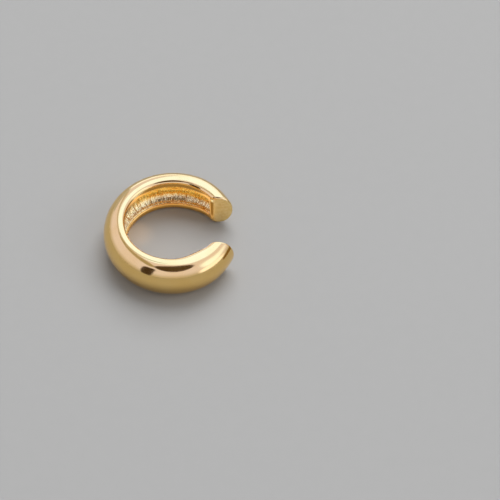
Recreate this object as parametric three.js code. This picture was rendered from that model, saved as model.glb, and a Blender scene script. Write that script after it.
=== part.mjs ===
// Ear cuff: a chunky open ring, cast in one piece, that slips over the rim of the ear.
// Its outside is a polished dome. Its inside is hollowed to a shell by a channel that
// runs between two narrow lips and stops at a short solid wall before each tip.
// Millimetres, +Z up. The cuff lies on its side, as it rests by itself: the ring's axis
// is vertical, its mouth opens towards +X, and the origin is the centre of its footprint.
import * as THREE from "three";

// Ring
const outerDiameter = 12.0; // over the crown of the dome, at the back of the ring
const bandThickness = 1.88; // from the inner face to the crown of the dome
const bandWidth = 3.84; // along the ring's axis
const mouthGap = 4.74; // between the two flat end faces, which are parallel

// Outside of the band
const rimRound = 0.36; // soft corner between the inner face and the rim
const rimLand = 0.1; // flat strip on each rim, which the cuff rests on

// Channel inside the band
const lipWidth = 0.76; // from each rim to the channel, along the ring's axis
const lipRound = 0.08; // corner between that face and the channel
const crownWall = 0.93; // metal left between the channel and the crown of the dome
const endWall = 0.28; // metal left between the channel and an end face
const endRamp = 0.3; // length over which the channel rounds down to its full depth
const cornerReach = 0.14; // how much later it starts along its lips than along its middle
const cornerPower = 4; // a higher power keeps that delay closer to the lips

// Tips
const tipThickness = 1.64; // what bandThickness narrows to at the end faces
const tipRecess = 0.07; // how far the inner face steps back there
const tipWidth = 3.5; // what bandWidth narrows to at the end faces
const taperLength = 3.4; // length of band over which it narrows
const tipRound = 0.22; // edge all round an end face

// Facets
const domeFacets = 18;
const channelFacets = 12;
const cornerFacets = 3;
const tipRoundRows = 3;
const rampRows = 3;
const taperRows = 7;
const sideRows = 3;
const backRows = 15;

const innerRadius = outerDiameter / 2 - bandThickness;
const middleRadius = outerDiameter / 2 - bandThickness / 2;
const channelDepth = bandThickness - crownWall;
const channelHalfWidth = bandWidth / 2 - lipWidth;
const lastFlatSetback = endWall + cornerReach + endRamp;

// Angle, from the +X axis, of the plane that lies setback behind the upper end face.
const planeAngle = (radius, setback) => Math.asin((mouthGap / 2 + setback) / radius);

// Length of band, along its middle, from the last flat row to the back of the ring.
const halfLength = middleRadius * (Math.PI - planeAngle(middleRadius, lastFlatSetback));

// Sweep of the row that ends the taper, and of the one where the ring is widest.
const taperSweep = (taperLength - lastFlatSetback) / halfLength;
const crownStart = planeAngle(outerDiameter / 2, lastFlatSetback);
const sideSweep = (Math.PI / 2 - crownStart) / (Math.PI - crownStart);

// One row of the band's surface. setback is how far the row's plane lies behind the end
// face; sweep turns that plane from 0, parallel to the end face, to 1, at the back.
function bandRow(setback, sweep = 0, inset = 0) {
  const fromEnd = setback + sweep * halfLength;
  const narrowed = THREE.MathUtils.smoothstep(taperLength - fromEnd, 0, taperLength);
  return {
    setback,
    sweep,
    inset,
    innerFace: innerRadius + tipRecess * narrowed,
    thickness: THREE.MathUtils.lerp(bandThickness, tipThickness, narrowed),
    halfWidth: THREE.MathUtils.lerp(bandWidth, tipWidth, narrowed) / 2,
  };
}

// How far the channel has opened, from 0 to 1, at a height z in a row: it drops from the
// end wall as a quarter of an ellipse.
function channelShare(row, z) {
  if (row.sweep > 0) return 1;
  const start = endWall + cornerReach * (Math.abs(z) / channelHalfWidth) ** cornerPower;
  const share = THREE.MathUtils.clamp((row.setback - start) / endRamp, 0, 1);
  return Math.sqrt(share * (2 - share));
}

// An elliptical arc as points, without its last one, from one angle to another.
function arc(centreX, centreY, radiusX, radiusY, from, to, facets) {
  const clockwise = to < from;
  const curve = new THREE.EllipseCurve(centreX, centreY, radiusX, radiusY, from, to, clockwise);
  return curve.getPoints(facets).slice(0, -1);
}

// The closed section of a row: x is the depth behind the inner face, y the height.
function section(row) {
  const { thickness, halfWidth } = row;
  const quarter = Math.PI / 2;
  const domeStart = rimRound + rimLand;
  const outline = [
    ...arc(domeStart, 0, thickness - domeStart, halfWidth, -quarter, quarter, domeFacets),
    new THREE.Vector2(domeStart, halfWidth),
    ...arc(rimRound, halfWidth - rimRound, rimRound, rimRound, quarter, 2 * quarter, cornerFacets),
    new THREE.Vector2(0, halfWidth - rimRound),
  ];
  const lipInside = halfWidth - lipWidth;
  const opened = [
    ...arc(lipRound, lipInside + lipRound, lipRound, lipRound, 2 * quarter, 3 * quarter, cornerFacets),
    ...arc(lipRound, 0, channelDepth - lipRound, lipInside, quarter, -quarter, channelFacets),
    ...arc(lipRound, -lipInside - lipRound, lipRound, lipRound, quarter, 2 * quarter, cornerFacets),
    new THREE.Vector2(0, -lipInside - lipRound),
  ];
  for (const point of opened) point.x *= channelShare(row, point.y);
  outline.push(
    ...opened,
    ...arc(rimRound, rimRound - halfWidth, rimRound, rimRound, 2 * quarter, 3 * quarter, cornerFacets),
    new THREE.Vector2(rimRound, -halfWidth),
  );
  const keptDepth = 1 - row.inset / (thickness / 2);
  const keptHeight = 1 - row.inset / halfWidth;
  for (const point of outline) {
    point.x = thickness / 2 + (point.x - thickness / 2) * keptDepth;
    point.y *= keptHeight;
  }
  return outline;
}

// A section's points on the ring, on the side of the upper tip (1) or the lower (-1).
function placeRow(row, side) {
  return section(row).map((point) => {
    const radius = row.innerFace + point.x;
    const start = planeAngle(radius, row.setback);
    const angle = start + row.sweep * (Math.PI - start);
    return new THREE.Vector3(
      radius * Math.cos(angle),
      side * radius * Math.sin(angle),
      point.y + bandWidth / 2,
    );
  });
}

// The rows from an end face to the back of the ring.
function halfBandRows() {
  const rows = [];
  for (let i = 0; i <= tipRoundRows; i++) {
    const turn = (Math.PI / 2) * (1 - i / tipRoundRows);
    rows.push(bandRow(tipRound * (1 - Math.sin(turn)), 0, tipRound * (1 - Math.cos(turn))));
  }
  rows.push(bandRow(endWall));
  for (let i = 1; i <= rampRows; i++) {
    rows.push(bandRow(endWall + ((cornerReach + endRamp) * i) / rampRows));
  }
  const sweepOn = (from, to, count) => {
    for (let i = 1; i <= count; i++) {
      rows.push(bandRow(lastFlatSetback, THREE.MathUtils.lerp(from, to, i / count)));
    }
  };
  sweepOn(0, taperSweep, taperRows);
  sweepOn(taperSweep, sideSweep, sideRows);
  sweepOn(sideSweep, 1, backRows);
  return rows;
}

// A closed skin over rows of equal length, with a fan over the first and the last row.
function skin(rows) {
  const across = rows[0].length;
  const points = rows.flat();
  const triangles = [];
  for (let i = 0; i + 1 < rows.length; i++) {
    for (let j = 0; j < across; j++) {
      const a = i * across + j;
      const b = i * across + ((j + 1) % across);
      triangles.push(a, a + across, b, b, a + across, b + across);
    }
  }
  const cap = (first, row, flipped) => {
    const middle = points.length;
    points.push(row.reduce((sum, point) => sum.add(point), new THREE.Vector3()).divideScalar(across));
    for (let j = 0; j < across; j++) {
      const a = first + j;
      const b = first + ((j + 1) % across);
      triangles.push(middle, ...(flipped ? [b, a] : [a, b]));
    }
  };
  cap(0, rows[0], false);
  cap((rows.length - 1) * across, rows.at(-1), true);
  const geometry = new THREE.BufferGeometry().setFromPoints(points);
  geometry.setIndex(triangles);
  geometry.computeVertexNormals();
  return geometry;
}

function cuffBand() {
  const half = halfBandRows();
  const upper = half.map((row) => placeRow(row, 1));
  const lower = half.slice(0, -1).map((row) => placeRow(row, -1));
  const geometry = skin([...upper, ...lower.reverse()]);
  const polishedGold = new THREE.MeshStandardMaterial({
    color: 0xd9ab55,
    roughness: 0.12,
    metalness: 1,
  });
  const mesh = new THREE.Mesh(geometry, polishedGold);
  mesh.name = "cuff_band";
  return mesh;
}

const cuff = new THREE.Group();
const band = cuffBand();
band.geometry.computeBoundingBox();
const footprint = band.geometry.boundingBox.getCenter(new THREE.Vector3());
band.position.set(-footprint.x, -footprint.y, 0);
cuff.add(band);

export default cuff;
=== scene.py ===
import math

import bpy
import numpy as np
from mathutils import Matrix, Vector


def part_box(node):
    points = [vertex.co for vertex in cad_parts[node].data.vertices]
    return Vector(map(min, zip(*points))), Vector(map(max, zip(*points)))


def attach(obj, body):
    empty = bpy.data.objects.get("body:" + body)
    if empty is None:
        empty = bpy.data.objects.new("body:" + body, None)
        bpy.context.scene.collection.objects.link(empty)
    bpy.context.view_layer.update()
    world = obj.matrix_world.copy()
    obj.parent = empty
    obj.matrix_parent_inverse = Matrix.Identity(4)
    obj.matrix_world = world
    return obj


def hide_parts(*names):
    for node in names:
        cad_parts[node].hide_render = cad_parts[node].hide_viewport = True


# A chunky gold ear cuff, lying on its side on a pale table under a soft overhead light.
# Metres, +Z up. The ring's axis is vertical and its mouth opens towards +X.

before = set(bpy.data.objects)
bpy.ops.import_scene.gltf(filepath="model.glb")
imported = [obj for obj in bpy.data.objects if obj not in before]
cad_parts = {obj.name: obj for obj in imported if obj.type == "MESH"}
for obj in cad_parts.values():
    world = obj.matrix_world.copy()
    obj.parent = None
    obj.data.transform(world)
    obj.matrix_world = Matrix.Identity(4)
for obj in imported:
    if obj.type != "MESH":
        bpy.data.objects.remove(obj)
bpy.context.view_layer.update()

MM = 0.001

# Sizes of the cast band, as in the CAD model
BAND_LOW, BAND_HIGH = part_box("cuff_band")
OUTER_DIAMETER = BAND_HIGH[1] - BAND_LOW[1]
BAND_WIDTH = BAND_HIGH[2] - BAND_LOW[2]
BAND_THICKNESS = 1.88 * MM
MOUTH_GAP = 4.74 * MM
RIM_ROUND = 0.36 * MM
RIM_LAND = 0.1 * MM
LIP_WIDTH = 0.76 * MM
LIP_ROUND = 0.08 * MM
CROWN_WALL = 0.93 * MM
END_WALL = 0.28 * MM
END_RAMP = 0.3 * MM
CORNER_REACH = 0.14 * MM
CORNER_POWER = 4
TIP_THICKNESS = 1.64 * MM
TIP_RECESS = 0.07 * MM
TIP_WIDTH = 3.5 * MM
TAPER_LENGTH = 3.4 * MM
TIP_ROUND = 0.22 * MM

# The lower arm is a little fuller on its inside, near its tip
FULLNESS = 0.25 * MM
FULLNESS_PLACE = 1.4 * MM
FULLNESS_REACH = 1.8 * MM

INNER_RADIUS = OUTER_DIAMETER / 2 - BAND_THICKNESS
MIDDLE_RADIUS = OUTER_DIAMETER / 2 - BAND_THICKNESS / 2
CHANNEL_DEPTH = BAND_THICKNESS - CROWN_WALL
CHANNEL_HALF_WIDTH = BAND_WIDTH / 2 - LIP_WIDTH
DOME_START = RIM_ROUND + RIM_LAND
LAST_FLAT_SETBACK = END_WALL + CORNER_REACH + END_RAMP
RING_AXIS_X = BAND_LOW[0] + OUTER_DIAMETER / 2
RING_MIDDLE = Vector((RING_AXIS_X, 0.0, BAND_WIDTH / 2))

# Fineness of the surface grid
FACE_RINGS = 6
TIP_ROUND_ROWS = 10
END_WALL_ROWS = 3
RAMP_ROWS = 14
TAPER_ROWS = 34
BACK_ROWS = 112
DOME_COLUMNS = 92
LAND_COLUMNS = 3
RIM_COLUMNS = 7
LIP_FACE_COLUMNS = 3
LIP_ROUND_COLUMNS = 6
CHANNEL_COLUMNS = 104

# The channel's columns in the grid, with the rounded edges beside it: the first, and the one after the last
CHANNEL_START = DOME_COLUMNS + LAND_COLUMNS + RIM_COLUMNS + LIP_FACE_COLUMNS
CHANNEL_END = CHANNEL_START + 2 * LIP_ROUND_COLUMNS + CHANNEL_COLUMNS

# A patch of the grid below this area, in square metres, has no direction of its own
LEAST_PATCH = 1e-12

# Relief that casting leaves in the channel
SWELL_LENGTH = 0.75 * MM
SWELL_HEIGHT = 0.012 * MM
SWELL_SEED = 3
PITTING_LENGTH = 0.26 * MM
PITTING_HEIGHT = 0.012 * MM
PITTING_SEED = 5
FINE_PITTING_LENGTH = 0.13 * MM
FINE_PITTING_SHARE = 0.6
FINE_PITTING_SEED = 7
LATTICE_CORNERS = 256

# Marks on the band: finishes as cast in the channel and filed flat at the tips, and painted shade deep inside
# the ring; and the depth behind the lips' edges over which the cast one sets in
FINISH_AND_SHADE_MARKS = ("cast", "deep_shade", "filed")
CAST_FADE = 0.16 * MM

# Painted deep shade, an amber colour that stands in for shade inside the channel: how much of it the lips
# take, from where it deepens and over how much, by share of the depth of the channel, and how much of it
# fades towards the back, from where and over how much, by share of the way
LIP_SHADE = 0.5
DEEP_START = 0.6
DEEP_FADE = 0.35
BACK_FADE = 0.85
BACK_FADE_START = 0.55
BACK_FADE_LENGTH = 0.16


def smooth(share):
    """0 below 0, 1 above 1 and an S curve with flat ends between them."""
    share = np.clip(share, 0.0, 1.0)
    return share * share * (3.0 - 2.0 * share)


def lattice_noise(u, v, seed):
    """Random heights from -1 to 1 at the corners of a unit lattice, blended smoothly over its squares."""
    corners = np.random.default_rng(seed).uniform(-1.0, 1.0, (LATTICE_CORNERS, LATTICE_CORNERS))
    column = np.floor(u).astype(int)
    row = np.floor(v).astype(int)
    across = smooth(u - column)
    down = smooth(v - row)
    left = column % LATTICE_CORNERS
    right = (column + 1) % LATTICE_CORNERS
    near = row % LATTICE_CORNERS
    far = (row + 1) % LATTICE_CORNERS
    low = corners[near, left] * (1 - across) + corners[near, right] * across
    high = corners[far, left] * (1 - across) + corners[far, right] * across
    return low * (1 - down) + high * down


def plane_angle(radius, setback):
    """Angle from the +X axis of the plane that lies setback behind the upper end face, at that radius."""
    return np.arcsin((MOUTH_GAP / 2 + setback) / radius)


def half_band_rows():
    """From an end face's middle to the back of the ring, each row's setback behind the end face, sweep from a
    plane parallel to it (0) to the back (1), inset of its outline, share of the outline that it keeps, and
    distance from the end face along the band."""
    rings = np.linspace(0.0, 1.0, FACE_RINGS, endpoint=False)[1:]
    turn = np.linspace(math.pi / 2, 0.0, TIP_ROUND_ROWS + 1)
    wall = np.linspace(TIP_ROUND, END_WALL, END_WALL_ROWS + 1)[1:]
    ramp = np.linspace(END_WALL, LAST_FLAT_SETBACK, RAMP_ROWS + 1)[1:]
    half_length = MIDDLE_RADIUS * (math.pi - plane_angle(MIDDLE_RADIUS, LAST_FLAT_SETBACK))
    taper_sweep = (TAPER_LENGTH - LAST_FLAT_SETBACK) / half_length
    swept = np.concatenate([
        np.linspace(0.0, taper_sweep, TAPER_ROWS + 1)[1:],
        np.linspace(taper_sweep, 1.0, BACK_ROWS + 1)[1:],
    ])
    setback = np.concatenate([
        np.zeros(len(rings)),
        TIP_ROUND * (1 - np.sin(turn)),
        wall,
        ramp,
        np.full(len(swept), LAST_FLAT_SETBACK),
    ])
    inset = np.concatenate([
        np.full(len(rings), TIP_ROUND),
        TIP_ROUND * (1 - np.cos(turn)),
        np.zeros(len(wall) + len(ramp) + len(swept)),
    ])
    sweep = np.concatenate([np.zeros(len(setback) - len(swept)), swept])
    kept = np.concatenate([rings, np.ones(len(setback) - len(rings))])
    from_end = setback + sweep * half_length
    return setback[:, None], sweep[:, None], inset[:, None], kept[:, None], from_end[:, None]


def turned(start, end, columns):
    """Angles from start to end in degrees, without the last one."""
    return np.radians(np.linspace(start, end, columns, endpoint=False))[None, :]


def shares(columns):
    """Even shares from 0 to 1, without the last one."""
    return np.linspace(0.0, 1.0, columns, endpoint=False)[None, :]


def lip_outline(half_width):
    """Depths and heights of the upper lip: the flat land and the quarter circle at its rim, its face, and its
    rounded edge at the channel."""
    land = shares(LAND_COLUMNS)
    rim = turned(90, 180, RIM_COLUMNS)
    face = shares(LIP_FACE_COLUMNS)
    edge = turned(180, 270, LIP_ROUND_COLUMNS)
    level = np.ones_like(half_width)
    face_top = half_width - RIM_ROUND
    face_foot = half_width - LIP_WIDTH + LIP_ROUND
    return [
        (level * (DOME_START - RIM_LAND * land), half_width + 0 * land),
        (level * (RIM_ROUND + RIM_ROUND * np.cos(rim)), face_top + RIM_ROUND * np.sin(rim)),
        (level * 0 * face, face_top + (face_foot - face_top) * face),
        (level * (LIP_ROUND + LIP_ROUND * np.cos(edge)), face_foot + LIP_ROUND * np.sin(edge)),
    ]


def closed_outline(thickness, half_width):
    """Depth and height of each row's closed outline: half an ellipse for the dome, the upper lip, half an
    ellipse for the channel, and the lower lip."""
    dome = turned(-90, 90, DOME_COLUMNS + 1)[:, 1:]
    hollow = np.radians(np.linspace(90, -90, CHANNEL_COLUMNS))[None, :]
    hollow_depth = LIP_ROUND + (CHANNEL_DEPTH - LIP_ROUND) * np.cos(hollow)
    upper_lip = lip_outline(half_width)
    lower_lip = [(depth[:, ::-1], -height[:, ::-1]) for depth, height in reversed(upper_lip)]
    depths, heights = zip(
        (DOME_START + (thickness - DOME_START) * np.cos(dome), half_width * np.sin(dome)),
        *upper_lip,
        (np.ones_like(half_width) * hollow_depth, (half_width - LIP_WIDTH) * np.sin(hollow)),
        *lower_lip,
    )
    return np.hstack(depths), np.hstack(heights)


def in_columns(grid, start, end):
    """1 in the grid's columns from start up to end, and 0 in the others."""
    chosen = np.zeros_like(grid)
    chosen[:, start:end] = 1.0
    return chosen


def with_end_walls(depth, height, setback, sweep):
    """The outline's depth with the channel's end walls: behind each tip it drops to its full depth down a
    rounded ramp, later towards the corners."""
    delay = CORNER_REACH * (np.abs(height) / CHANNEL_HALF_WIDTH) ** CORNER_POWER
    dropped = np.clip((setback - END_WALL - delay) / END_RAMP, 0.0, 1.0)
    opened = np.where(sweep > 0, 1.0, np.sqrt(dropped * (2 - dropped)))
    return np.where(in_columns(depth, CHANNEL_START, CHANNEL_END) > 0, depth * opened, depth)


def finish_and_shade_marks(depth, sweep, inset):
    """How far each point is as cast, painted with shade far inside the ring, and filed, from 0 to 1."""
    in_channel = in_columns(depth, CHANNEL_START, CHANNEL_END)
    inside = in_columns(depth, CHANNEL_START - LIP_FACE_COLUMNS, CHANNEL_END + LIP_FACE_COLUMNS)
    cast = in_channel * smooth((depth - LIP_ROUND) / CAST_FADE)
    # Painted shade: part of it on the lips, and in the channel it grows with depth and fades towards the back
    arms = 1 - BACK_FADE * smooth((sweep - BACK_FADE_START) / BACK_FADE_LENGTH)
    deepest_shade = arms * smooth((depth / CHANNEL_DEPTH - DEEP_START) / DEEP_FADE)
    deep_shade = inside * (LIP_SHADE * (1 - cast) + cast * deepest_shade)
    filed = smooth(inset / TIP_ROUND) * np.ones_like(depth)
    return np.stack([cast, deep_shade, filed], axis=2)


def band_section(setback, sweep, inset, kept, from_end):
    """Depth behind the inner face and height above the middle plane of each row's outline, and its marks.
    Towards the tips the band is narrower and thinner, and its inside steps back."""
    narrowed = smooth(1 - from_end / TAPER_LENGTH)
    thickness = BAND_THICKNESS + (TIP_THICKNESS - BAND_THICKNESS) * narrowed
    half_width = (BAND_WIDTH + (TIP_WIDTH - BAND_WIDTH) * narrowed) / 2
    depth, height = closed_outline(thickness, half_width)
    depth = with_end_walls(depth, height, setback, sweep)
    marks = finish_and_shade_marks(depth, sweep, inset)
    kept_depth = kept * (1 - inset / (thickness / 2))
    kept_height = kept * (1 - inset / half_width)
    depth = thickness / 2 + (depth - thickness / 2) * kept_depth
    return TIP_RECESS * narrowed + depth, height * kept_height, marks


def outward(points):
    """Unit normals of a grid that closes on itself across: the cross product of its two directions."""
    along = np.gradient(points, axis=0)
    across = np.roll(points, -1, axis=1) - np.roll(points, 1, axis=1)
    normal = np.cross(along, across)
    return normal / np.maximum(np.linalg.norm(normal, axis=2, keepdims=True), LEAST_PATCH)


def fullness(depth, from_end):
    """How far the lower arm's inside stands further in: a bell curve along it that fades through the band."""
    along = np.exp(-((from_end - FULLNESS_PLACE) / FULLNESS_REACH) ** 2)
    return FULLNESS * along * smooth(1 - depth / BAND_THICKNESS)


def cast_relief(along, across, cast):
    """Height that casting adds inside the channel: long swells and short pits, both random."""
    swell = lattice_noise(along / SWELL_LENGTH, across / SWELL_LENGTH, SWELL_SEED)
    pits = lattice_noise(along / PITTING_LENGTH, across / PITTING_LENGTH, PITTING_SEED)
    fine = lattice_noise(along / FINE_PITTING_LENGTH, across / PITTING_LENGTH, FINE_PITTING_SEED)
    return cast * (SWELL_HEIGHT * swell + PITTING_HEIGHT * (pits + FINE_PITTING_SHARE * fine))


def band_grid():
    """The whole band as a grid of points, from the upper end face round the back to the lower one: each row's
    outline stands on the ring at its plane's angle, trimmed to the box of the plainer CAD solid. Also its
    distances along the band and up it, and its marks: cast, painted shade far inside the ring, and filed."""
    setback, sweep, inset, kept, from_end = half_band_rows()
    depth, height, marks = band_section(setback, sweep, inset, kept, from_end)
    radius = INNER_RADIUS + depth
    start = plane_angle(radius, setback)
    angle = start + sweep * (math.pi - start)
    x = RING_AXIS_X + radius * np.cos(angle)
    y = radius * np.sin(angle)
    z = BAND_WIDTH / 2 + height
    upper = np.stack([x, y, z], axis=2)
    fuller = fullness(depth, from_end)
    lower = np.stack([x - fuller * np.cos(angle), fuller * np.sin(angle) - y, z], axis=2)[-2::-1]
    points = np.concatenate([upper, lower])
    along = MIDDLE_RADIUS * np.concatenate([angle, 2 * math.pi - angle[-2::-1]])
    marks = np.concatenate([marks, marks[-2::-1]])
    height = np.concatenate([height, height[-2::-1]])
    across = height + np.concatenate([depth, depth[-2::-1]]) * np.sign(height)
    points = points + outward(points) * cast_relief(along, across, marks[..., 0])[..., None]
    return np.clip(points, BAND_LOW, BAND_HIGH), along, height, marks


def grid_faces(rows, columns):
    """Quads of a grid that closes on itself across, and a fan of triangles to a pole at each end."""
    i, j = np.meshgrid(np.arange(rows - 1), np.arange(columns), indexing="ij")
    a = i * columns + j
    b = i * columns + (j + 1) % columns
    quads = np.stack([a, a + columns, b + columns, b], axis=2).reshape(-1, 4)
    ring = np.arange(columns)
    following = (ring + 1) % columns
    first_pole = rows * columns
    last_row = (rows - 1) * columns
    first_fan = np.stack([np.full(columns, first_pole), ring, following], axis=1)
    last_fan = np.stack([np.full(columns, first_pole + 1), last_row + following, last_row + ring], axis=1)
    return quads.tolist() + first_fan.tolist() + last_fan.tolist()


def with_poles(values):
    """A grid's values in one list, followed by the mean of its first row and of its last."""
    flat = values.reshape(-1, values.shape[-1])
    return np.vstack([flat, values[0].mean(axis=0), values[-1].mean(axis=0)])


def new_mesh(name, points, faces):
    mesh = bpy.data.meshes.new(name)
    mesh.from_pydata(points, [], faces)
    return mesh


def in_scene(name, data):
    """A new object for that mesh, light or camera, put in the scene."""
    made = bpy.data.objects.new(name, data)
    bpy.context.collection.objects.link(made)
    return made


def cast_band():
    """The cuff: one closed surface with a band map in millimetres and a point value for each finish and for
    the painted shade far inside the ring.
    """
    points, along, height, marks = band_grid()
    rows, columns = points.shape[:2]
    mesh = new_mesh("cast_band", with_poles(points).tolist(), grid_faces(rows, columns))
    mesh.polygons.foreach_set("use_smooth", np.ones(len(mesh.polygons), bool))
    vertex = np.empty(len(mesh.loops), int)
    mesh.loops.foreach_get("vertex_index", vertex)
    band_map = with_poles(np.stack([along, height], axis=2)) / MM
    mesh.uv_layers.new(name="band_map").data.foreach_set("uv", band_map[vertex].ravel())
    for name, values in zip(FINISH_AND_SHADE_MARKS, with_poles(marks).T):
        mesh.attributes.new(name, "FLOAT", "POINT").data.foreach_set("value", values)
    mesh.validate()
    return in_scene("cast_band", mesh)


class Value:
    """A number or vector on its way through a node tree: Python's operators add Math nodes."""

    def __init__(self, tree, socket):
        self.tree = tree
        self.socket = socket

    def math(self, operation, *others):
        node = self.tree.nodes.new("ShaderNodeMath")
        node.operation = operation
        for place, other in enumerate((self, *others)):
            if isinstance(other, Value):
                self.tree.links.new(other.socket, node.inputs[place])
            else:
                node.inputs[place].default_value = other
        return Value(self.tree, node.outputs[0])

    def constant(self, number):
        node = self.tree.nodes.new("ShaderNodeValue")
        node.outputs[0].default_value = number
        return Value(self.tree, node.outputs[0])

    def __add__(self, other):
        return self.math("ADD", other)

    __radd__ = __add__

    def __mul__(self, other):
        return self.math("MULTIPLY", other)

    __rmul__ = __mul__

    def __sub__(self, other):
        return self.math("SUBTRACT", other)

    def __rsub__(self, other):
        return self.constant(other) - self

    def __pow__(self, other):
        return self.math("POWER", other)

    def between(self, low, high):
        """0 below low, 1 above high and a smooth step between them."""
        node = self.tree.nodes.new("ShaderNodeMapRange")
        node.interpolation_type = "SMOOTHSTEP"
        self.tree.links.new(self.socket, node.inputs["Value"])
        node.inputs["From Min"].default_value = low
        node.inputs["From Max"].default_value = high
        return Value(self.tree, node.outputs["Result"])


class Shader:
    """A material's node tree: each node is made through one method, node."""

    def __init__(self, name):
        self.material = bpy.data.materials.new(name)
        self.material.use_nodes = True
        self.tree = self.material.node_tree
        self.tree.nodes.clear()

    def node(self, kind, settings=None, output=0, **sockets):
        """A node of that kind: its settings, then its sockets by number (n0) or name, with _ for spaces."""
        made = self.tree.nodes.new(kind)
        for name, setting in (settings or {}).items():
            setattr(made, name, setting)
        for name, value in sockets.items():
            place = int(name[1:]) if name[0] == "n" and name[1:].isdigit() else name.replace("_", " ")
            socket = made.inputs[place]
            if isinstance(value, Value):
                self.tree.links.new(value.socket, socket)
            else:
                socket.default_value = value
        return Value(self.tree, made.outputs[output])

    def part(self, vector, axis):
        """One of a vector's three numbers."""
        split = self.tree.nodes.new("ShaderNodeSeparateXYZ")
        self.tree.links.new(vector.socket, split.inputs["Vector"])
        return Value(self.tree, split.outputs[axis])

    def blend(self, share, first, second):
        """The first colour where share is 0 and the second where it is 1."""
        return self.node("ShaderNodeMix", {"data_type": "RGBA"}, output=2, n0=share, n6=first, n7=second)

    def scaled(self, vector, factors):
        return self.node("ShaderNodeVectorMath", {"operation": "MULTIPLY"}, n0=vector, n1=factors)

    def noise(self, vector, scale, detail=2.0, roughness=0.5):
        return self.node(
            "ShaderNodeTexNoise", Vector=vector, Scale=scale, Detail=detail, Roughness=roughness
        )

    def surface(self, shader):
        """The finished material."""
        out = self.tree.nodes.new("ShaderNodeOutputMaterial")
        self.tree.links.new(shader.socket, out.inputs["Surface"])
        return self.material


# Colours of the gold, linear: polished; as cast, with painted glints on its crests and painted shade in its
# pits;
# in amber painted shade far inside the ring, on crests and in pits; and filed
GOLD = (0.93, 0.625, 0.225, 1.0)
WARM_GOLD = (0.91, 0.59, 0.19, 1.0)
CAST_GLINT_GOLD = (1.0, 0.78, 0.32, 1.0)
CAST_PIT_SHADE_GOLD = (0.62, 0.32, 0.07, 1.0)
SHADED_DEEP_GOLD = (1.0, 0.7, 0.17, 1.0)
SHADED_DEEP_PIT_GOLD = (1.0, 0.53, 0.07, 1.0)
FILED_GOLD = (1.0, 0.76, 0.33, 1.0)
FILED_DARK_GOLD = (0.9, 0.63, 0.2, 1.0)

# Patterns in the gold, each as the map that it lies on, its features in a millimetre along that map's three
# axes, its detail, and the roughness of its detail
PATTERNS = {
    "hairlines": ("band", (0.9, 26.0, 1.0), 3.0, 0.6),
    "ripples": ("place", (0.8, 0.8, 0.8), 1.0, 0.4),
    "smudges": ("place", (0.45, 0.45, 0.45), 3.0, 0.55),
    "ridges": ("band", (5.0, 0.9, 1.0), 2.0, 0.6),
    "grain": ("place", (11.0, 11.0, 11.0), 3.0, 0.65),
    "file_marks": ("place", (4.0, 4.0, 7.0), 4.0, 0.65),
}

# Where each pattern starts to show and where it shows fully, and how much of it the colours take
SMUDGE_RANGE = (0.42, 0.66)
SMUDGE_SHARE = 0.6
HAIRLINE_RANGE = (0.5, 0.75)
FILE_MARK_RANGE = (0.3, 0.7)
GRAIN_RANGE = (0.4, 0.7)
# Painted glints on the cast crests and painted shade in its pits: where they part, and how much grain and
# ridges count
CAST_GLINT_RANGE = (0.42, 0.56)
GRAIN_SHARE = 0.65
RIDGE_SHARE = 0.35

# Roughness of each finish, and what the patterns and the depth add to it
POLISHED_ROUGHNESS = 0.09
SMUDGE_ROUGHNESS = 0.05
HAIRLINE_ROUGHNESS = 0.03
CAST_ROUGHNESS = 0.12
GRAIN_ROUGHNESS = 0.08
DEEP_ROUGHNESS = 0.1
FILED_ROUGHNESS = 0.5

# Heights of the patterns in millimetres, and how much of the cast ones is lost deep in the ring
RIPPLE_HEIGHT = 0.0006
HAIRLINE_HEIGHT = 0.00004
FILE_MARK_HEIGHT = 0.015
RIDGE_HEIGHT = 0.075
GRAIN_HEIGHT = 0.012
DEEP_SMOOTHNESS = 0.55


def gold_patterns(shader):
    """The patterns in the gold, by name."""
    place = shader.node("ShaderNodeTexCoord", output="Object")
    maps = {
        "band": shader.node("ShaderNodeUVMap", {"uv_map": "band_map"}),
        "place": shader.scaled(place, (1 / MM, 1 / MM, 1 / MM)),
    }
    return {
        name: shader.noise(shader.scaled(maps[chosen], features), 1.0, detail, roughness)
        for name, (chosen, features, detail, roughness) in PATTERNS.items()
    }


def gold_colour(shader, patterns, cast, deep_shade, filed):
    """Smudged gold where it is polished, paler and blotched where it is filed, and where it is as cast,
    painted glints on its crests and painted shade in its pits; amber painted shade on its lips and far inside
    the ring."""
    smudged = patterns["smudges"].between(*SMUDGE_RANGE)
    polished_colour = shader.blend(smudged * SMUDGE_SHARE, GOLD, WARM_GOLD)
    # Painted shade in a darker amber on the lips and far inside the ring
    polished_colour = shader.blend(deep_shade, polished_colour, SHADED_DEEP_PIT_GOLD)
    file_marks = patterns["file_marks"].between(*FILE_MARK_RANGE)
    filed_colour = shader.blend(file_marks, FILED_DARK_GOLD, FILED_GOLD)
    polished_colour = shader.blend(filed, polished_colour, filed_colour)
    # As cast: painted glints on the crests and painted shade in the pits, in amber where the deep shade is
    # painted
    crest_glint_gold = shader.blend(deep_shade, CAST_GLINT_GOLD, SHADED_DEEP_GOLD)
    pit_shade_gold = shader.blend(deep_shade, CAST_PIT_SHADE_GOLD, SHADED_DEEP_PIT_GOLD)
    glinting_crests = (GRAIN_SHARE * patterns["grain"] + RIDGE_SHARE * patterns["ridges"]).between(*CAST_GLINT_RANGE)
    return shader.blend(cast, polished_colour, shader.blend(glinting_crests, pit_shade_gold, crest_glint_gold))


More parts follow.
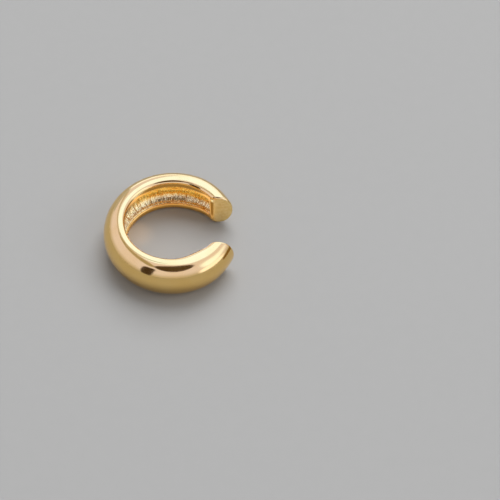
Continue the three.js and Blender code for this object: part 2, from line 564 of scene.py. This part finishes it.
def gold_roughness(patterns, cast, deep_shade, filed):
    """Roughness of the gold, which smudges and hairlines raise a little."""
    smudged = patterns["smudges"].between(*SMUDGE_RANGE)
    scratched = patterns["hairlines"].between(*HAIRLINE_RANGE)
    grainy = patterns["grain"].between(*GRAIN_RANGE)
    polished_roughness = POLISHED_ROUGHNESS + SMUDGE_ROUGHNESS * smudged + HAIRLINE_ROUGHNESS * scratched
    polished_roughness = polished_roughness + filed * (FILED_ROUGHNESS - POLISHED_ROUGHNESS)
    cast_roughness = CAST_ROUGHNESS + GRAIN_ROUGHNESS * grainy + DEEP_ROUGHNESS * deep_shade
    return polished_roughness * (1 - cast) + cast_roughness * cast


def gold_height(patterns, cast, deep_shade, filed):
    """Height of the gold's relief in millimetres: less of the cast one shows far inside the ring."""
    polished_height = RIPPLE_HEIGHT * patterns["ripples"] + HAIRLINE_HEIGHT * patterns["hairlines"]
    polished_height = polished_height + FILE_MARK_HEIGHT * filed * patterns["file_marks"]
    cast_height = RIDGE_HEIGHT * patterns["ridges"] + GRAIN_HEIGHT * patterns["grain"]
    return polished_height * (1 - cast) + cast_height * (1 - DEEP_SMOOTHNESS * deep_shade) * cast


def plated_gold():
    """Gold plate: mirror polished with faint hairlines and hand-buffed ripples, grainy where it is as cast,
    with painted glints on its crests and painted shade in its pits, amber painted shade on the lips and far
    inside the ring, and satin where the tips were filed flat."""
    shader = Shader("plated_gold")
    patterns = gold_patterns(shader)
    marks = [
        shader.node("ShaderNodeAttribute", {"attribute_name": name}, output="Fac") for name in FINISH_AND_SHADE_MARKS
    ]
    height = gold_height(patterns, *marks)
    return shader.surface(shader.node(
        "ShaderNodeBsdfPrincipled",
        Base_Color=gold_colour(shader, patterns, *marks),
        Metallic=1.0,
        Roughness=gold_roughness(patterns, *marks),
        Normal=shader.node("ShaderNodeBump", Strength=1.0, Distance=MM, Height=height),
    ))


# Table top: two greys that its flecks mix, and flecks in a metre
TABLE_GREY = (0.44, 0.44, 0.44, 1.0)
TABLE_FLECK_GREY = (0.452, 0.452, 0.452, 1.0)
TABLE_FLECKS = 900.0
TABLE_ROUGHNESS = 0.65
TABLE_HALF_SIZE = 0.6

# Corners and face of a flat square, in half sides from its middle
SQUARE_CORNERS = np.array([(-1, -1), (1, -1), (1, 1), (-1, 1)])
SQUARE_FACES = [(0, 1, 2, 3)]


def table_top():
    """Smooth pale grey board without gloss."""
    shader = Shader("table_top")
    fleck = shader.noise(shader.node("ShaderNodeTexCoord", output="Object"), TABLE_FLECKS)
    return shader.surface(shader.node(
        "ShaderNodeBsdfPrincipled",
        Base_Color=shader.blend(fleck, TABLE_GREY, TABLE_FLECK_GREY),
        Roughness=TABLE_ROUGHNESS,
        Specular_IOR_Level=0.0,
    ))


def table():
    """A flat square table top under the cuff."""
    corners = SQUARE_CORNERS * TABLE_HALF_SIZE
    mesh = new_mesh("table", [(x, y, 0.0) for x, y in corners.tolist()], SQUARE_FACES)
    mesh.materials.append(table_top())
    in_scene("table", mesh)


# Soft light from all round, as brightness against white
AMBIENT_COLOUR = (1.0, 1.0, 1.0)
AMBIENT_BRIGHTNESS = 0.39

# Softboxes: angles in degrees, lengths in metres and brightness against white. The main one stands behind.
LIGHT_COLUMNS = ("azimuth", "elevation", "distance", "side", "brightness")
LIGHTS = {
    "key_light": (163, 56, 1.0, 0.85, 3.7),
    "side_light": (80, 36, 1.0, 0.5, 1.9),
}

# Warm light that the gold throws back on the table inside the ring: its place there, its reach, and the
# lamp's direction and distance
GLOW_COLOUR = (1.0, 0.62, 0.3)
GLOW_PLACE = (-3.0 * MM, 1.4 * MM, 0.0)
GLOW_RADIUS = 1.8 * MM
GLOW_AZIMUTH = 95
GLOW_ELEVATION = 62
GLOW_DISTANCE = 0.1
GLOW_BRIGHTNESS = 0.3

# Walls that only the gold mirrors: brighter and bluer from the table's edge up
WALL_FOOT_COLOUR = (0.52, 0.53, 0.58, 1.0)
WALL_COLOUR = (0.84, 0.87, 1.48, 1.0)
WALL_FOOT_RISE = -0.06
WALL_RISE = 0.42
WALL_DISTANCE = 1.5

# Cards that only the gold mirrors: angles in degrees, distance in metres, squareness (2 is an ellipse),
# softness as the share of the card that is soft edge, and colour as brightness against white. The last five
# are small and close by: side_flag stands beside the tips, and the others stand inside the ring.
CARD_COLUMNS = (
    "azimuth", "elevation", "distance", "half_width", "half_height", "squareness", "softness", "colour",
)
CARDS = {
    "window": (155, 44, 0.45, 23, 46, 6, 0.25, (1.1, 1.55, 2.85)),
    "window_foot": (172, 9, 0.3, 34, 11, 4, 0.4, (1.12, 1.4, 2.3)),
    "side_window": (72, 32, 0.4, 27, 21, 2, 0.9, (1.2, 1.55, 2.6)),
    "side_glow": (62, 6, 0.3, 28, 15, 3, 0.8, (1.35, 1.45, 2.2)),
    "window_frame": (-158, 48, 0.35, 3, 32, 3, 0.6, (0.55, 0.55, 0.6)),
    "left_corner": (-150, 8, 0.3, 11, 15, 3, 0.6, (0.5, 0.55, 0.75)),
    "ceiling": (-95, 66, 0.3, 34, 7, 3, 0.6, (0.42, 0.4, 0.35)),
    "camera_side": (3, 58.5, 0.3, 23, 22.5, 2, 0.2, (0.08, 0.055, 0.03)),
    "camera_stand": (-39, 21, 0.3, 9.5, 23, 4, 0.5, (0.06, 0.04, 0.025)),
    "side_flag": (92, -3, 14 * MM, 22, 8, 4, 0.4, (0.22, 0.15, 0.06)),
    "floor_glow": (0, -90, 1.87 * MM, 65, 65, 2, 0.5, (1.15, 0.95, 0.8)),
    "floor_middle": (0, -90, 1.84 * MM, 56.5, 56.5, 2, 0.35, (0.3, 0.25, 0.2)),
    "floor_side": (122, -19, 2.6 * MM, 26, 20, 2, 0.6, (1.1, 1.4, 2.3)),
    "tip_flag": (126, -10, 3.7 * MM, 8, 20, 4, 0.4, (0.3, 0.22, 0.12)),
}


def around(azimuth, elevation, distance):
    """A point round the cuff: azimuth 0 is in front of it and 90 to its right, and elevation is upwards."""
    turn = math.radians(azimuth)
    rise = math.radians(elevation)
    level = Vector((math.sin(turn), -math.cos(turn), 0.0)) * math.cos(rise)
    return RING_MIDDLE + (level + Vector((0.0, 0.0, math.sin(rise)))) * distance


def facing_the_cuff(place):
    return (place - RING_MIDDLE).to_track_quat("Z", "Y")


def ambient_light():
    world = bpy.data.worlds.new("ambient_light")
    bpy.context.scene.world = world
    world.use_nodes = True
    background = world.node_tree.nodes["Background"]
    background.inputs["Color"].default_value = (*AMBIENT_COLOUR, 1.0)
    background.inputs["Strength"].default_value = AMBIENT_BRIGHTNESS


def softbox(name, azimuth, elevation, distance, side, brightness):
    """A square light that falls on the table and casts a soft shadow; it isn't mirrored in the gold. Its
    power is its brightness times pi times its area."""
    light = bpy.data.lights.new(name, "AREA")
    light.shape = "SQUARE"
    light.size = side
    light.energy = brightness * math.pi * side ** 2
    box = in_scene(name, light)
    box.location = around(azimuth, elevation, distance)
    box.rotation_euler = facing_the_cuff(box.location).to_euler()
    box.visible_glossy = False


def warm_glow():
    """A soft round spot of light on the table, with the power that gives it its brightness from there."""
    light = bpy.data.lights.new("warm_glow", "SPOT")
    light.color = GLOW_COLOUR
    light.energy = GLOW_BRIGHTNESS * 4 * math.pi ** 2 * GLOW_DISTANCE ** 2
    light.spot_size = 2 * math.atan(GLOW_RADIUS / GLOW_DISTANCE)
    light.spot_blend = 1.0
    light.shadow_soft_size = 0.0
    lamp = in_scene("warm_glow", light)
    lamp.location = Vector(GLOW_PLACE) + around(GLOW_AZIMUTH, GLOW_ELEVATION, GLOW_DISTANCE) - RING_MIDDLE
    lamp.rotation_euler = (lamp.location - Vector(GLOW_PLACE)).to_track_quat("Z", "Y").to_euler()
    lamp.visible_glossy = False


def only_mirrored(name, mesh):
    """Puts a wall or card in the studio: it shows in the gold, and in nothing else."""
    seen = in_scene(name, mesh)
    seen.visible_camera = False
    seen.visible_shadow = False
    seen.visible_diffuse = False


def wall_paint():
    """Pale walls whose brightness rises smoothly with the height at which they are seen."""
    shader = Shader("wall_paint")
    place = shader.node("ShaderNodeTexCoord", output="Object")
    direction = shader.node("ShaderNodeVectorMath", {"operation": "NORMALIZE"}, n0=place)
    rise = shader.part(direction, "Z").between(WALL_FOOT_RISE, WALL_RISE)
    colour = shader.blend(rise, WALL_FOOT_COLOUR, WALL_COLOUR)
    return shader.surface(shader.node("ShaderNodeEmission", Color=colour, Strength=1.0))


def walls():
    """A closed box of walls round the table."""
    signs = np.array([(x, y, z) for x in (-1, 1) for y in (-1, 1) for z in (-1, 1)])
    sides = [(0, 1, 3, 2), (4, 6, 7, 5), (0, 4, 5, 1), (2, 3, 7, 6), (0, 2, 6, 4), (1, 5, 7, 3)]
    mesh = new_mesh("walls", (signs * WALL_DISTANCE).tolist(), sides)
    mesh.materials.append(wall_paint())
    only_mirrored("walls", mesh)


def soft_edged(name, squareness, softness, colour):
    """Glow of one colour that fades out towards the card's edge, where |x| and |y| to a power add up to 1."""
    shader = Shader(name)
    place = shader.node("ShaderNodeUVMap", {"uv_map": "card_map"})
    squared = shader.node("ShaderNodeVectorMath", {"operation": "MULTIPLY"}, n0=place, n1=place)
    power = squareness / 2
    inside = 1 - (shader.part(squared, "X") ** power + shader.part(squared, "Y") ** power)
    brightest = max(colour)
    glow = shader.node(
        "ShaderNodeEmission",
        Color=(*(part / brightest for part in colour), 1.0),
        Strength=brightest,
    )
    clear = shader.node("ShaderNodeBsdfTransparent")
    seen = inside.between(0.0, softness)
    return shader.surface(shader.node("ShaderNodeMixShader", n0=seen, n1=clear, n2=glow))


def mirrored_card(name, azimuth, elevation, distance, half_width, half_height, squareness, softness, colour):
    """A soft-edged card that faces the cuff."""
    centre = around(azimuth, elevation, distance)
    reach = np.tan(np.radians([half_width, half_height])) * distance
    turn = facing_the_cuff(centre)
    places = [centre + turn @ Vector((x, y, 0)) for x, y in (SQUARE_CORNERS * reach).tolist()]
    mesh = new_mesh(name, [tuple(place) for place in places], SQUARE_FACES)
    mesh.uv_layers.new(name="card_map").data.foreach_set("uv", SQUARE_CORNERS.ravel().astype(float))
    mesh.materials.append(soft_edged(name, squareness, softness, colour))
    only_mirrored(name, mesh)


def studio():
    ambient_light()
    for name, light in LIGHTS.items():
        softbox(name, **dict(zip(LIGHT_COLUMNS, light)))
    warm_glow()
    walls()
    for name, card in CARDS.items():
        mirrored_card(name, **dict(zip(CARD_COLUMNS, card)))


# The view in the photograph: angles in degrees, and the picture's side, the ring's diameter and the place of
# its middle in pixels
VIEW_AZIMUTH = -1.5
VIEW_ELEVATION = 52.7
PICTURE_SIDE = 500
DIAMETER_IN_PIXELS = 138.4
RING_PLACE = (172.7, 232.8)
PIXEL = OUTER_DIAMETER / DIAMETER_IN_PIXELS

# A long lens, in millimetres as its sensor, and the nearest and farthest that it sees, by its distance
LENS = 200.0
SENSOR = 36.0
NEAREST = 0.01
FARTHEST = 10


def camera():
    """A camera whose picture has the ring's middle at its place in the photograph."""
    turn = math.radians(VIEW_AZIMUTH)
    back = around(VIEW_AZIMUTH, VIEW_ELEVATION, 1.0) - RING_MIDDLE
    right = Vector((math.cos(turn), math.sin(turn), 0.0))
    up = back.cross(right)
    picture_middle = PICTURE_SIDE / 2
    aim = (
        RING_MIDDLE
        + right * (picture_middle - RING_PLACE[0]) * PIXEL
        - up * (picture_middle - RING_PLACE[1]) * PIXEL
    )
    data = bpy.data.cameras.new("camera")
    data.lens = LENS
    data.sensor_width = SENSOR
    distance = PICTURE_SIDE * PIXEL * LENS / SENSOR
    data.clip_start = distance * NEAREST
    data.clip_end = distance * FARTHEST
    eye = in_scene("camera", data)
    eye.location = aim + back * distance
    eye.rotation_euler = back.to_track_quat("Z", "Y").to_euler()
    bpy.context.scene.camera = eye


def main():
    camera()
    band = cast_band()
    band.data.materials.append(plated_gold())
    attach(band, "root")
    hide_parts("cuff_band")
    table()
    studio()
    bpy.context.scene.view_settings.view_transform = "Standard"


main()
